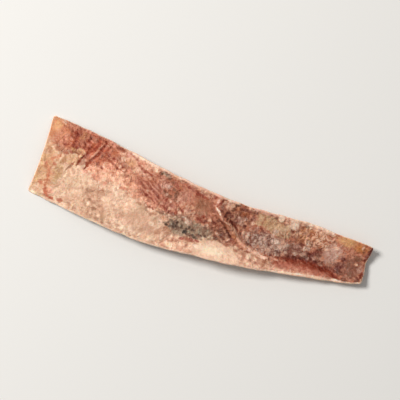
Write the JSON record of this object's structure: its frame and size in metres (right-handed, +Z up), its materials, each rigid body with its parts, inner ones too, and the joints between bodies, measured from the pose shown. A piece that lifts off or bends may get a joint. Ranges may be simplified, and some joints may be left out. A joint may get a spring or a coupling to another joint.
{
  "type": "dried cuttlefish strip",
  "caption": "Thin knife-cut ribbon of dried cuttlefish, lying skin side up, gently arched and curled, tapering from a wide end to a narrow tip.",
  "frame": {"origin": "bottom centre of the bounding box, on the surface that the strip lies on", "axes": "+X along the strip from its wide end to its narrow tip, +Y across it towards its back edge, +Z up, out of the skin side"},
  "size_m": [0.104, 0.0276, 0.0069],
  "materials": {
    "dried_skin": "matte, crinkled dried skin and flesh"
  },
  "bodies": {
    "root": {"cuttlefish_strip": "dried_skin"}
  },
  "joints": []
}
